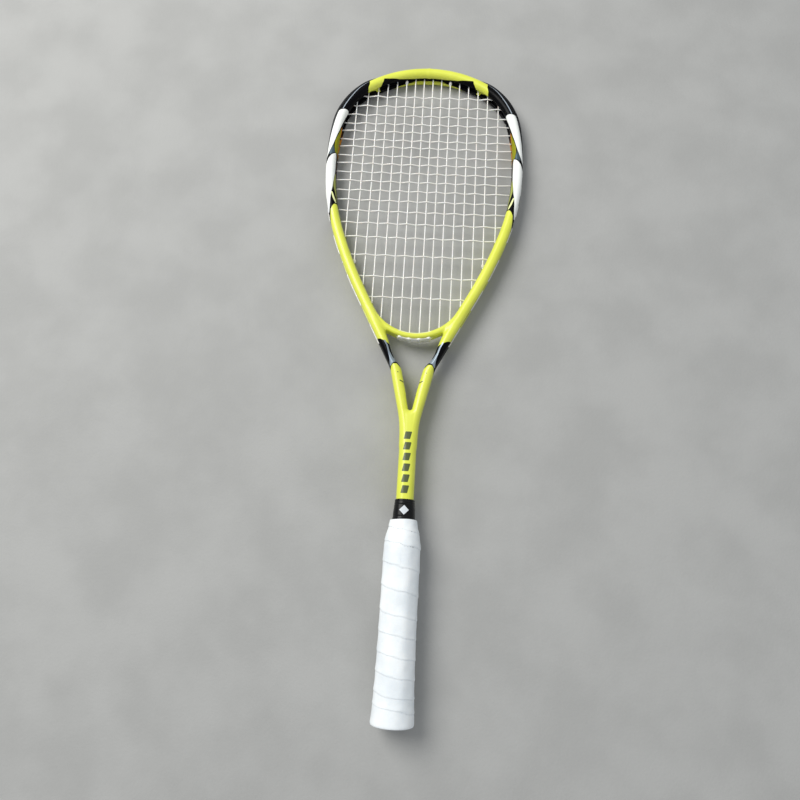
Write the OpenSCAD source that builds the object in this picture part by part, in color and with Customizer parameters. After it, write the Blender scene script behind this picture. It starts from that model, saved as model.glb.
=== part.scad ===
// Squash racket, strung, with a wrapped handle.
// Units are millimetres. The origin is the centre of the butt end, in the plane of the strings.
// +Y runs up the shaft to the tip of the head, +X is across the strings, +Z is out of the front face.

/* [Overall] */
// Butt end to the outside of the bumper guard at the tip
total_length = 686; // [670:1:686]
// How far the bumper guard stands proud of the hoop
bumper_proud = 1.1; // [0.5:0.1:2]

/* [Hoop] */
// Radius of the tip of the head
tip_r = 126.5; // [110:0.1:150]
// Radius of the shoulders
shoulder_r = 78.7; // [60:0.1:95]
// Radius of the sides
side_r = 266; // [200:0.1:330]
// Radius of the long run down to the throat
arm_r = 509.8; // [400:0.1:700]
// Width of the recess that the grommet ends sit in, around the inside of the upper hoop
recess_w = 6; // [4:0.5:8]
// Depth of that recess
recess_d = 2.8; // [1:0.1:4]
// Width of the hoop in the plane of the strings
hoop_w = 10.8; // [9:0.1:14]
// Depth of the hoop through the plane of the strings
hoop_d = 19; // [16:0.5:24]
// Radius of the crowned front and back faces of the hoop
hoop_crown_r = 6; // [5.5:0.1:8]

/* [Throat and shaft] */
// Length of the straight run from the arms down to the throat
straight_run = 82.4; // [60:0.1:90]
// How far down that run the string groove goes
groove_run = 60; // [30:0.5:62]
// Radius of the knee where the straight run turns into a leg of the throat
knee_r = 30; // [20:1:60]
// Length of a leg of the throat
leg_run = 40; // [20:1:60]
// Radius of the sweep from a leg into the shaft
throat_r = 160; // [100:1:250]
// Radius of the head side of the bridge
bridge_r = 48.3; // [40:0.1:60]
// Height of the bridge's head side above the butt end
bridge_y = 365; // [350:0.5:380]
// Thickness of the bridge along the shaft
bridge_w = 6; // [5:0.1:10]
// Depth of the bridge
bridge_d = 15; // [12:0.5:19]
// Height of the bottom of the throat opening
crotch_y = 284.3; // [270:0.1:300]
// Radius of the bottom of the throat opening
crotch_r = 2.4; // [2:0.1:5]
// Width of the shaft
shaft_w = 16.8; // [14:0.1:20]
// Depth of the shaft
shaft_d = 19.6; // [16:0.1:24]

/* [Strings] */
// Diameter of the string
string_d = 1.25; // [1.1:0.05:1.4]
// Diameter of the holes drilled in the hoop
hole_d = 3.4; // [3:0.1:4.5]
// Outside diameter of a grommet barrel
barrel_d = 3.2; // [2.8:0.1:4]
// Bore of a grommet barrel
barrel_bore = 1.9; // [1.5:0.1:2.5]
// Width of the string groove around the outside of the hoop
groove_w = 6; // [4:0.5:8]
// Depth of the string groove
groove_d = 3; // [2:0.1:4]

/* [Handle] */
// Length of the wrapped handle
grip_l = 178; // [150:1:200]
// Half width of the wrapped handle at its middle
grip_r = 17.5; // [15:0.1:20]
// Thickness of the wrapped outer grip
overgrip_t = 0.9; // [0.4:0.1:1.5]
// Across flats of the foam core
core_af = 27; // [24:0.5:30]

/* [View] */
// Node to draw

/* [Hidden] */
$fn = 96;

// Distances of the eight pairs of mains from the centre line, and heights of the nineteen crosses.
main_half = [5, 14.8, 24.8, 35.4, 45.8, 56.6, 67.6, 79.8];
mains = [for (i = [-8:7]) i < 0 ? -main_half[-i - 1] : main_half[i]];
crosses = [
    650.6, 637.6, 625.5, 614.3, 604.4, 593.5, 584, 573.1, 563, 552, 541.2, 529.4, 517.5, 504.6,
    490.3, 473.5, 452.4, 428.3, 404.7,
];

// The hoop is a chain of arcs, each tangent to the next. Angles are those of the outward normal,
// from +Y towards +X, so one angle names one place on the right-hand side of the hoop.
tip_a = 31;
shoulder_a = 78.4;
side_a = 109.1;
arm_a = 117.6;
function out(a) = [sin(a), cos(a)];
function along(a) = [cos(a), -sin(a)];
hoop_top = total_length - bumper_proud;
tip_c = [0, hoop_top - tip_r];
shoulder_c = tip_c + (tip_r - shoulder_r) * out(tip_a);
side_c = shoulder_c + (shoulder_r - side_r) * out(shoulder_a);
arm_c = side_c + (side_r - arm_r) * out(side_a);
arcs = [
    [tip_c, tip_r, 0, tip_a],
    [shoulder_c, shoulder_r, tip_a, shoulder_a],
    [side_c, side_r, shoulder_a, side_a],
    [arm_c, arm_r, side_a, arm_a],
];
arm_end = arm_c + arm_r * out(arm_a);
leg_a = 103.2;
knee_c = arm_end + straight_run * along(arm_a) + knee_r * out(arm_a);
leg_start = knee_c - knee_r * out(leg_a);
throat_c = leg_start + leg_run * along(leg_a) + throat_r * out(leg_a);
bridge_c = [0, bridge_y + bridge_r];
bridge_a = 61;
bumper_a = 88;
bumper_t = 1;
strip_a = 89.5;
strip_t = 2.2;
bridge_strip_a = 18;
bridge_strip_t = 1.8;
bridge_strip_d = 11;
barrel_proud = 0.4;

// The straight run is waisted on its inner side above the knee: distance down the run and depth
// from its outer face.
waist = [[52, 11.5], [60, 9.8], [67, 8.6], [74.6, 7.4], [82.6, 7.4], [86, 9], [90, 14], [90, 18], [52, 18]];

// Where a line of constant x or y meets the hoop, a given depth inside its outer face.
function arc_y(k, x, inset) = k[0].y + (k[1] - inset) * cos(arc_angle(k, x, inset));
function arc_angle(k, x, inset) = let (a = asin((x - k[0].x) / (k[1] - inset))) k[2] < 90 ? a : 180 - a;
function top_y(x, inset) = let (k = x < tip_r * sin(tip_a) ? arcs[0] : arcs[1]) arc_y(k, x, inset);
function line_y(x, inset) = let (p = arm_end - inset * out(arm_a)) p.y + (p.x - x) / tan(90 - arm_a);
function arm_y(x, inset) =
    arc_angle(arcs[3], x, inset) < arm_a ? arc_y(arcs[3], x, inset) : line_y(x, inset);
function bridge_y_at(x, drop) = bridge_c.y - sqrt(pow(bridge_r + bridge_w + drop, 2) - x * x);
function hole_start(x) = x < 28 ? bridge_y_at(x, 2.5) : bridge_y - 25;
function bridge_pad(x) = x < 18 ? bridge_strip_t : 0.3;
function low_y(x, inset) = x < 28 ? bridge_y_at(x, bridge_pad(x) + string_d / 2) : arm_y(x, inset);
function y_angle(k, y, inset) = acos((y - k[0].y) / (k[1] - inset));
function at_y(k, y, inset) = k[0].x + (k[1] - inset) * sin(y_angle(k, y, inset));
function side_x(y, inset) = at_y([for (k = arcs) if (y > k[0].y + k[1] * cos(k[3]) - 2) k][0], y, inset);

// Rings of a tube that follows a path, each square to the path at its point.
function unit(v) = v / norm(v);
function ring(p, t, r, n) = let (s = unit(cross(t, [0, 0, 1]))) let (u = cross(s, t))
    [for (i = [0:n - 1]) p + r * (cos(360 * i / n) * s + sin(360 * i / n) * u)];
function path_tangent(p, i) = unit(p[min(i + 1, len(p) - 1)] - p[max(i - 1, 0)]);

module tube_along(path, d, n) {
    rings = [for (i = [0:len(path) - 1]) each ring(path[i], path_tangent(path, i), d / 2, n)];
    last = len(path) - 1;
    sides = [
        for (i = [0:last - 1], j = [0:n - 1])
            [i * n + j, i * n + (j + 1) % n, (i + 1) * n + (j + 1) % n, (i + 1) * n + j]
    ];
    caps = [[for (j = [n - 1:-1:0]) j], [for (j = [0:n - 1]) last * n + j]];
    polyhedron(points = rings, faces = concat(sides, caps), convexity = 10);
}

module both_sides() {
    children();
    mirror([1, 0, 0]) children();
}

module along_y(y) {
    translate([0, y, 0]) rotate([-90, 0, 0]) children();
}

// A bar section with flat sides and crowned front and back faces.
module crowned_bar(w, d, r) {
    intersection() {
        square([w, d], center = true);
        union() {
            for (s = [-1, 1]) {
                translate([0, s * (d / 2 - r)]) circle(r);
            }
            square([w, d - 2 * r], center = true);
        }
    }
}

// Section of the hoop without its groove, outer face at x = 0.
module plain_section() {
    translate([-hoop_w / 2, 0])
        crowned_bar(hoop_w - 2 * $slim, hoop_d - 2 * $slim, hoop_crown_r - $slim);
}

module groove_section() {
    translate([-groove_d - $slim, -groove_w / 2 - $slim]) square([groove_d + 1, groove_w + 2 * $slim]);
}

module hoop_section() {
    difference() {
        plain_section();
        groove_section();
    }
}

// Section of the upper hoop, with the recess in its inner face too.
module recessed_section() {
    difference() {
        hoop_section();
        translate([-hoop_w - 1, -recess_w / 2 - $slim])
            square([1 + recess_d + $slim, recess_w + 2 * $slim]);
    }
}

// The section given as a child, carried round one arc of the hoop between two normal angles.
module arc(k, from, to) {
    translate([k[0].x, k[0].y, 0])
        rotate([0, 0, 90 - to])
            rotate_extrude(angle = to - from, $fn = 240)
                translate([k[1], 0]) children();
}

// Every second run is a hair slimmer and reaches into its neighbours, so that all the runs join.
slim = 0.03;
reach = 0.4;

module tip_run() {
    $slim = 0;
    arc(arcs[0], -tip_a, tip_a) children();
}

module shoulder_run() {
    $slim = slim;
    arc(arcs[1], tip_a - reach, shoulder_a + reach) children();
}

module side_run(from, to) {
    $slim = 0;
    arc(arcs[2], from, to) children();
}

module arm_run() {
    $slim = slim;
    arc(arcs[3], side_a - reach, arm_a + reach) children();
}

module straight(start, a, length) {
    $slim = 0;
    translate([start.x, start.y, 0])
        rotate([0, 0, -a]) rotate([0, 90, 0]) rotate([0, 0, 90])
            linear_extrude(height = length) children();
}

// A bend the other way, its outer face on a radius r about c.
module bend(c, r, from, to) {
    $slim = slim;
    translate([c.x, c.y, 0])
        rotate([0, 0, 270 - from])
            rotate_extrude(angle = from - to, $fn = 360)
                mirror([1, 0]) translate([-r, 0]) plain_section();
}

module throat_run() {
    straight(arm_end, arm_a, straight_run) plain_section();
    bend(knee_c, knee_r, arm_a + 1, leg_a - 1);
    straight(leg_start, leg_a, leg_run) plain_section();
    bend(throat_c, throat_r, leg_a + reach, 90);
}

module waist_cut() {
    translate([arm_end.x, arm_end.y, -hoop_d])
        rotate([0, 0, -arm_a])
            linear_extrude(height = 2 * hoop_d) polygon([for (p = waist) [p.x, -p.y]]);
}

// Rounded bottom of the throat opening, widened a little up to where the legs are clear of it.
module crotch_cut() {
    c = crotch_y + crotch_r;
    translate([0, 0, -hoop_d]) linear_extrude(height = 2 * hoop_d) {
        translate([0, c]) circle(r = crotch_r);
        polygon([[-crotch_r, c], [crotch_r, c], [4.4, crotch_y + 14], [-4.4, crotch_y + 14]]);
    }
}

module main_holes(d) {
    for (x = mains) {
        along_y(hole_start(abs(x))) translate([x, 0, 0]) cylinder(d = d, h = total_length, $fn = 24);
    }
}

module cross_holes(d) {
    for (y = crosses) {
        translate([-total_length / 2, y, 0]) rotate([0, 90, 0]) cylinder(d = d, h = total_length, $fn = 24);
    }
}

// The moulded hoop, throat and shaft, in one piece.
module frame() {
    color("yellowgreen")
    difference() {
        union() {
            tip_run() recessed_section();
            both_sides() {
                shoulder_run() recessed_section();
                side_run(shoulder_a, side_a) hoop_section();
                arm_run() hoop_section();
                throat_run();
            }
            translate([bridge_c.x, bridge_c.y, 0])
                rotate([0, 0, -90 - bridge_a])
                    rotate_extrude(angle = 2 * bridge_a, $fn = 240)
                        translate([bridge_r + bridge_w / 2, 0]) crowned_bar(bridge_w, bridge_d, 4.5);
            along_y(4) linear_extrude(height = crotch_y + 5 - 4) crowned_bar(shaft_w, shaft_d, 9.6);
        }
        crotch_cut();
        both_sides() {
            waist_cut();
            straight(arm_end, arm_a, groove_run) groove_section();
        }
        main_holes(hole_d);
        cross_holes(hole_d);
    }
}

// The string holes' grommet barrels, kept only where they pass through the solid given as children.
module barrels() {
    intersection() {
        children();
        union() {
            main_holes(barrel_d);
            cross_holes(barrel_d);
        }
    }
}

// What the grommet barrels run through: a wall that deep, and from the groove to just inside it.
module wall_section(deep) {
    d = deep + barrel_proud;
    translate([-d, -hoop_w / 2]) square([d - groove_d + bumper_t / 2, hoop_w]);
}

module strip_section(t) {
    w = groove_w - 0.2 - 2 * $slim;
    translate([-groove_d + $slim, -w / 2]) square([t - 2 * $slim, w]);
}

// A channel that lines the groove, with a flange on each side of it over the hoop's outer face.
module bumper_section() {
    strip_section(bumper_t);
    for (s = [-1, 1]) {
        translate([-groove_d + 0.5, s * (groove_w / 2 - 0.5) - 0.4 + $slim])
            square([groove_d + bumper_proud - 0.5 - $slim, 0.8 - 2 * $slim]);
        translate([$slim, s * (groove_w / 2 + 1.2) - 2.1 + $slim])
            square([bumper_proud - 2 * $slim, 4.2 - 2 * $slim]);
    }
}

module bumper_guard() {
    color("black")
    difference() {
        union() {
            tip_run() bumper_section();
            barrels() tip_run() wall_section(hoop_w - recess_d);
            both_sides() {
                shoulder_run() bumper_section();
                barrels() shoulder_run() wall_section(hoop_w - recess_d);
                side_run(shoulder_a, bumper_a) bumper_section();
                barrels() side_run(shoulder_a, bumper_a) wall_section(hoop_w);
            }
        }
        main_holes(barrel_bore);
        cross_holes(barrel_bore);
    }
}

module right_grommet_strip() {
    color("dimgray")
    difference() {
        union() {
            side_run(strip_a, side_a) strip_section(strip_t);
            arm_run() strip_section(strip_t);
            straight(arm_end, arm_a, groove_run) strip_section(strip_t);
            barrels() side_run(strip_a, side_a) wall_section(hoop_w);
            barrels() arm_run() wall_section(hoop_w);
            barrels() straight(arm_end, arm_a, groove_run) wall_section(hoop_w);
        }
        main_holes(barrel_bore);
        cross_holes(barrel_bore);
    }
}

module left_grommet_strip() {
    mirror([1, 0, 0]) right_grommet_strip();
}

// A band of the bridge's curve, between two radii, out to a given angle each side.
module bridge_band(r_in, r_out, depth, angle) {
    translate([bridge_c.x, bridge_c.y, 0])
        rotate([0, 0, -90 - angle])
            rotate_extrude(angle = 2 * angle, $fn = 240)
                translate([r_in, -depth / 2]) square([r_out - r_in, depth]);
}

module bridge_grommet_strip() {
    under = bridge_r + bridge_w;
    color("whitesmoke")
    difference() {
        union() {
            bridge_band(under, under + bridge_strip_t, bridge_strip_d, bridge_strip_a);
            barrels() bridge_band(bridge_r - barrel_proud, under + 0.3, groove_w, bridge_strip_a);
        }
        main_holes(barrel_bore);
    }
}

// The mains are one string: up one, along the groove, down the next. It lies deeper in the bumper
// guard's channel than on the grommet strips.
bumper_in = groove_d - bumper_t - string_d / 2;
strip_in = groove_d - strip_t - string_d / 2;
loop_z = 0.75;
function main_end(x, top) = [x, top ? top_y(abs(x), hoop_w) : low_y(abs(x), hoop_w), 0];
function main_loop(x, top) = [x, top ? top_y(abs(x), bumper_in) : low_y(abs(x), strip_in), loop_z];
function main_turn(i, top) = i + 1 < len(mains) ? [main_loop((mains[i] + mains[i + 1]) / 2, top)] : [];
function main_run(i, top) = concat(
    [main_loop(mains[i], !top), main_end(mains[i], !top)],
    [main_end(mains[i], top), main_loop(mains[i], top)],
    main_turn(i, top)
);

module main_string() {
    color("ivory") tube_along([for (i = [0:len(mains) - 1]) each main_run(i, i % 2 == 0)], string_d, 8);
}

// The crosses are one string too, over one main and under the next.
weave_z = string_d + 0.05;
strip_y = side_c.y + side_r * cos(strip_a) + 4;
function cross_end(y, s) = [s * side_x(y, hoop_w), y, 0];
function cross_loop(y, s) = [s * side_x(y, y > strip_y ? bumper_in : strip_in), y, -loop_z];
function woven(y, s, j) = [
    for (i = [0:len(mains) - 1])
        let (k = s > 0 ? i : len(mains) - 1 - i)
            if (abs(mains[k]) < side_x(y, hoop_w) - 2) [mains[k], y, (k + j) % 2 == 0 ? weave_z : -weave_z]
];
function cross_turn(j, s) =
    j + 1 < len(crosses) ? [cross_loop((crosses[j] + crosses[j + 1]) / 2, s)] : [];
function cross_run(j, s) = concat(
    [cross_loop(crosses[j], -s), cross_end(crosses[j], -s)],
    woven(crosses[j], s, j),
    [cross_end(crosses[j], s), cross_loop(crosses[j], s)],
    cross_turn(j, s)
);

module cross_string() {
    color("linen")
    tube_along([for (j = [0:len(crosses) - 1]) each cross_run(j, j % 2 == 0 ? 1 : -1)], string_d, 6);
}

// Each string end is tied around a main beside the hoop.
module tie_off_knots() {
    color("white")
    for (k = [[2, true], [6, false]], s = [-1, 1]) {
        x = main_half[k[0]];
        y = k[1] ? top_y(x, hoop_w + 4) : low_y(x, hoop_w + 4);
        for (turn = [0, 1.1]) {
            along_y(y + turn) translate([s * x, 0, 0])
                rotate_extrude($fn = 32) translate([string_d + 0.05, 0]) circle(d = string_d * 0.9, $fn = 16);
        }
    }
}

// Distances from the butt end and radii of the wrapped handle's layers, from the butt to its top.
grip_outside = [
    [0.5, grip_r + 1.8], [3, grip_r + 1.95], [12, grip_r + 1.4], [40, grip_r + 0.5],
    [75, grip_r - 0.1], [grip_l - 24, grip_r - 0.1], [grip_l - 14, grip_r - 1.6],
    [grip_l - 7, grip_r - 3.6], [grip_l, grip_r - 4.7],
];
grip_inside = [for (p = grip_outside) p - [0, overgrip_t]];
core_r = core_af / 2 / cos(22.5);
cap_sleeve_r = core_r + 1.1;
base_top = grip_l - 13;
base_outside = [
    [8, grip_r + 0.7], [12, grip_r + 0.5], [40, grip_r - 0.4], [75, grip_r - 1], [grip_l - 24, grip_r - 1],
    [base_top, grip_r - 3.4],
];
base_inside = [
    [8, cap_sleeve_r + 0.45], [24, cap_sleeve_r + 0.05], [24.1, core_r + 0.1],
    [grip_l - 20, core_r + 0.1], [base_top, core_r - 3.1],
];
collar_outside = [
    [grip_l - 12, grip_r - 3.6], [grip_l - 7, grip_r - 4.7], [grip_l, grip_r - 5.7],
    [grip_l + 18.4, grip_r - 7.1], [grip_l + 19, grip_r - 7.7],
];
collar_inside = [[grip_l - 12, grip_r - 4.4], [grip_l - 4, 9], [grip_l + 19, 9]];
collar_flats = [[grip_l - 12, 12.4], [grip_l, 10.9], [grip_l + 19, 9.4]];

// A turned shell between two lists of distance and radius.
module shell(outside, inside) {
    points = concat(outside, [for (i = [len(inside) - 1:-1:0]) inside[i]]);
    rotate([-90, 0, 0]) rotate_extrude() polygon([for (p = points) [p.y, p.x]]);
}

module shaft_bar(w, d, from, to) {
    along_y(from) linear_extrude(height = to - from) crowned_bar(w, d, shaft_d / 2 - 0.2);
}

// Foam pallet moulded round the shaft: an octagon, tapered at its top.
module handle_core() {
    color("tan")
    difference() {
        along_y(4) intersection() {
            rotate([0, 0, 22.5]) cylinder(r = core_r, h = grip_l - 16, $fn = 8);
            union() {
                cylinder(r = core_r + 1, h = grip_l - 26);
                translate([0, 0, grip_l - 26]) cylinder(r1 = core_r + 1, r2 = 11, h = 10);
            }
        }
        shaft_bar(shaft_w + 0.1, shaft_d + 0.1, 0, grip_l);
        butt_cap_staples();
        base_grip_tack();
    }
}

module butt_cap() {
    outside = [
        [0, 0], [0, 16.4], [1, 17.4], [3.6, 17.6], [8, cap_sleeve_r + 0.4], [24, cap_sleeve_r],
    ];
    color("dimgray")
    difference() {
        shell(outside, [[3.9, 0], [3.9, core_r + 0.1], [24, core_r + 0.1]]);
        butt_cap_staples();
    }
}

module staple() {
    for (s = [-1, 1]) {
        translate([s * 4, 0, -5]) cylinder(d = 1, h = 5.1, $fn = 16);
    }
    translate([-4.5, -0.5, 0]) cube([9, 1, 0.4]);
}

// Two staples hold the cap to the foam, one on each broad side.
module butt_cap_staples() {
    color("silver")
    for (a = [0, 180]) {
        rotate([0, a, 0]) translate([0, 16, cap_sleeve_r - 0.4]) staple();
    }
}

// Cushion grip, wound on the foam and over the cap's sleeve.
module base_grip() {
    color("gray")
    difference() {
        shell(base_outside, base_inside);
        base_grip_tack();
    }
}

// The tack that pins the start of the cushion grip.
module base_grip_tack() {
    color("silver")
    translate([-core_r - 0.5, 30, 0]) rotate([0, 90, 0]) {
        cylinder(d = 5, h = 0.4, $fn = 32);
        cylinder(d = 1.2, h = 5, $fn = 16);
    }
}

module overgrip() {
    color("white") shell(grip_outside, grip_inside);
}

// Tape round the end of the cushion grip, out of sight under the outer grip.
module finishing_tape() {
    tape = [[base_top - 6, grip_r - 2.08], [base_top + 0.9, grip_r - 3.59]];
    color("slategray") shell([for (p = tape) p + [0, 0.2]], tape);
}

// Rubber sleeve that covers the step from the handle to the shaft.
module grip_collar() {
    flats = concat(collar_flats, [for (i = [2:-1:0]) collar_flats[i] * -1]);
    color("black")
    difference() {
        intersection() {
            shell(collar_outside, collar_inside);
            linear_extrude(height = 3 * grip_r, center = true)
                polygon([for (p = flats) [p.y, abs(p.x)]]);
        }
        shaft_bar(shaft_w + 0.2, shaft_d + 0.2, grip_l - 14, grip_l + 30);
    }
}

frame();
bumper_guard();
left_grommet_strip();
right_grommet_strip();
bridge_grommet_strip();
main_string();
cross_string();
tie_off_knots();
handle_core();
butt_cap();
butt_cap_staples();
base_grip();
base_grip_tack();
overgrip();
finishing_tape();
grip_collar();
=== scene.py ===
"""Looks of the squash racket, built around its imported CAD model.

Shapes are worked out in millimetres in the CAD frame and turned to metres when a mesh is made.
"""
import math

import bmesh
import bpy
import numpy as np
import openvdb
from mathutils import Matrix, Vector

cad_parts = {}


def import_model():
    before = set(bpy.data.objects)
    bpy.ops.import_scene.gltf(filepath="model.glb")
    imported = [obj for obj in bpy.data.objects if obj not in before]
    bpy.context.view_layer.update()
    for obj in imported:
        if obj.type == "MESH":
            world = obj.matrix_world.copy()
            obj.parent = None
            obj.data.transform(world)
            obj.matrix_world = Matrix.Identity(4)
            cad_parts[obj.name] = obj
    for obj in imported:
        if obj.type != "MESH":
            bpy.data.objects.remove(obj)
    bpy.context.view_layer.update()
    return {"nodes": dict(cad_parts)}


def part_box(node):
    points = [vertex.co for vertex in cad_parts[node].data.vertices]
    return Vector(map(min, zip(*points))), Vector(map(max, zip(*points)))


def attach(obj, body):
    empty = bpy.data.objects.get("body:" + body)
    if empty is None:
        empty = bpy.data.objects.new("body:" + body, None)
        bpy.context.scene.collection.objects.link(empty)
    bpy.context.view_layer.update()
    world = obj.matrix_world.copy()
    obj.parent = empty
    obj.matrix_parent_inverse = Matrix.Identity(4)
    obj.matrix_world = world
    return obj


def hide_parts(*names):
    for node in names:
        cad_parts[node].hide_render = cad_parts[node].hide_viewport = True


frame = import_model()
MM = 0.001
rng = np.random.default_rng(11)

# ---------------------------------------------------------------- outline of the hoop

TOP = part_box("frame")[1].y / MM
HOOP_W = 10.8
HALF_W = HOOP_W / 2
TIP_R, SHOULDER_R, SIDE_R, ARM_R = 126.5, 78.7, 266.0, 509.8
TIP_A, SHOULDER_A, SIDE_A, ARM_A = 31.0, 78.4, 109.1, 117.6
STRAIGHT, GROOVE_RUN = 82.4, 60.0
KNEE_R, LEG_A, LEG, THROAT_R = 30.0, 103.2, 40.0, 160.0
BRIDGE_Y, BRIDGE_R, BRIDGE_W, BRIDGE_A = 413.3, 48.3, 6.0, 61.0
# Half width of the shaft, and the two heights it runs between.
SHAFT_HALF, SHAFT_LOW, SHAFT_TOP = 8.4, 4.0, 290.0
GROOVE_D, GROOVE_HALF = 3.0, 3.0
# Where the legs part: centre and radius of the rounded crotch, slope of its sides, and its height.
CROTCH_Y, CROTCH_R, CROTCH_SLOPE, CROTCH_H = 286.7, 2.4, 0.176, 13.0
# Half depths through the strings, each with the radius of its rounded edges.
HOOP_HALF_Z, HOOP_ROUND = 9.5, 5.2
BRIDGE_HALF_Z, BRIDGE_ROUND = 7.4, 2.9
RECESS_HALF_Z = 3.0
# Depth of the recess round the inside of the upper hoop, by path length from the tip.
RECESS = [
    (0, 1.8), (22, 2.4), (44, 2.8), (62, 3.2), (85, 3.5), (131, 3.4), (141, 2.4), (155, 1.0),
    (165, -1.0), (173, -3.0),
]
# Depth of the inner face below the outer one along the straight run, where it is waisted.
WAIST = [
    (46, 13), (52, 10.8), (60, 9.8), (67, 8.6), (74.6, 7.4), (80, 7.3), (84, 7.6), (88, 9.6),
    (91, 10.8), (95, 13),
]


def outward(a):
    """Unit normal at a normal angle in degrees, from +Y towards +X."""
    a = np.radians(a)
    return np.stack([np.sin(a), np.cos(a)], -1)


def onward(a):
    a = np.radians(a)
    return np.stack([np.cos(a), -np.sin(a)], -1)


def chain():
    """Arcs of the right half as (centre, radius, from angle, to angle, path length at its start)."""
    centre = np.array([0.0, TOP - TIP_R])
    runs = [(TIP_R, 0.0, TIP_A), (SHOULDER_R, TIP_A, SHOULDER_A), (SIDE_R, SHOULDER_A, SIDE_A)]
    runs.append((ARM_R, SIDE_A, ARM_A))
    arcs, length, last = [], 0.0, TIP_R
    for radius, a0, a1 in runs:
        centre = centre + (last - radius) * outward(a0)
        arcs.append((centre, radius, a0, a1, length))
        length += radius * math.radians(a1 - a0)
        last = radius
    return arcs, length


ARCS, ARM_T = chain()
ARM_END = ARCS[-1][0] + ARM_R * outward(ARM_A)
GROOVE_T = ARM_T + GROOVE_RUN
KNEE_T = ARM_T + STRAIGHT
KNEE_C = ARM_END + STRAIGHT * onward(ARM_A) + KNEE_R * outward(ARM_A)
LEG_START = KNEE_C - KNEE_R * outward(LEG_A)
LEG_T = KNEE_T + KNEE_R * math.radians(ARM_A - LEG_A)
THROAT_C = LEG_START + LEG * onward(LEG_A) + THROAT_R * outward(LEG_A)
LINES = [(ARM_END, ARM_A, STRAIGHT, ARM_T), (LEG_START, LEG_A, LEG, LEG_T)]
BENDS = [(KNEE_C, KNEE_R, ARM_A, LEG_A, KNEE_T), (THROAT_C, THROAT_R, LEG_A, 90.0, LEG_T + LEG)]


def hoop_at(t, inset=0.0):
    """Point a given depth inside the outer face, and outward normal, at path length t from the tip."""
    t = np.asarray(t, float)
    side = np.where(t < 0, -1.0, 1.0)
    run = np.abs(t)
    angle = np.full(run.shape, ARM_A)
    base = ARM_END + (run - ARM_T)[..., None] * onward(ARM_A)
    for centre, radius, a0, a1, t0 in ARCS:
        hit = (run >= t0) & (run <= t0 + radius * math.radians(a1 - a0))
        a = a0 + np.degrees((run - t0) / radius)
        angle = np.where(hit, a, angle)
        base = np.where(hit[..., None], centre + radius * outward(a), base)
    normal = outward(angle)
    point = base - np.asarray(inset)[..., None] * normal
    flip = np.stack([side, np.ones_like(side)], -1)
    return point * flip, normal * flip


def hoop_frame(x, y):
    """For each point: depth inside the right arm's outer face, path length, distance to its centre line."""
    shape = np.broadcast(x, y).shape
    nearest = np.full(shape, np.inf)
    depth = np.zeros(shape)
    run = np.zeros(shape)

    def offer(dist, s, t):
        hit = dist < nearest
        nearest[hit] = dist[hit]
        depth[hit] = s[hit]
        run[hit] = t[hit]

    for (cx, cy), radius, a0, a1, t0 in ARCS:
        dx, dy = x - cx, y - cy
        rho = np.hypot(dx, dy)
        a = np.clip(np.degrees(np.arctan2(dx, dy)), a0, a1)
        n = outward(a)
        dist = np.hypot(dx - (radius - HALF_W) * n[..., 0], dy - (radius - HALF_W) * n[..., 1])
        offer(dist, radius - rho, t0 + radius * np.radians(a - a0))
    for start, angle, length, t0 in LINES:
        n, d = outward(angle), onward(angle)
        dx, dy = x - start[0], y - start[1]
        go = np.clip(dx * d[0] + dy * d[1], 0, length)
        dist = np.hypot(dx - go * d[0] + HALF_W * n[0], dy - go * d[1] + HALF_W * n[1])
        offer(dist, -(dx * n[0] + dy * n[1]), t0 + go)
    for (cx, cy), radius, a0, a1, t0 in BENDS:
        dx, dy = cx - x, cy - y
        rho = np.hypot(dx, dy)
        a = np.clip(np.degrees(np.arctan2(dx, dy)), a1, a0)
        n = outward(a)
        dist = np.hypot(dx - (radius + HALF_W) * n[..., 0], dy - (radius + HALF_W) * n[..., 1])
        offer(dist, rho - radius, t0 + radius * np.radians(a0 - a))
    return depth, run, nearest


def table(pairs, at):
    """Value at a place, read between the pairs of a table."""
    return np.interp(at, *zip(*pairs))


# ---------------------------------------------------------------- meshes

def step01(lo, hi, v):
    k = np.clip((np.asarray(v, float) - lo) / (hi - lo), 0, 1)
    return k * k * (3 - 2 * k)


def smooth_min(a, b, k):
    h = np.maximum(k - np.abs(a - b), 0) / k
    return np.minimum(a, b) - h * h * k / 4


def smooth_max(a, b, k):
    return -smooth_min(-a, -b, k)


def slab(plan, z, half, r):
    """Field of a plan shape given a depth, with its edges rounded to radius r."""
    q0, q1 = plan + r, np.abs(z) - half + r
    return np.minimum(np.maximum(q0, q1), 0) + np.hypot(np.maximum(q0, 0), np.maximum(q1, 0)) - r


def make(name, verts, faces, material, replaces, sharp=40.0, attributes=None):
    """A piece from points in millimetres, closed and smooth shaded, riding on the frame."""
    mesh = bpy.data.meshes.new(name)
    mesh.from_pydata((np.asarray(verts, float) * MM).tolist(), [], [list(f) for f in faces])
    mesh.validate()
    solid = bmesh.new()
    solid.from_mesh(mesh)
    bmesh.ops.recalc_face_normals(solid, faces=solid.faces)
    solid.to_mesh(mesh)
    solid.free()
    mesh.polygons.foreach_set("use_smooth", np.ones(len(mesh.polygons), bool))
    mesh.set_sharp_from_angle(angle=math.radians(sharp))
    for key, values in (attributes or {}).items():
        layer = mesh.attributes.new(key, "FLOAT", "POINT")
        layer.data.foreach_set("value", np.asarray(values, np.float32))
    piece = bpy.data.objects.new(name, mesh)
    bpy.context.scene.collection.objects.link(piece)
    mesh.materials.append(material)
    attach(piece, "root")
    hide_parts(*replaces)


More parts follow.
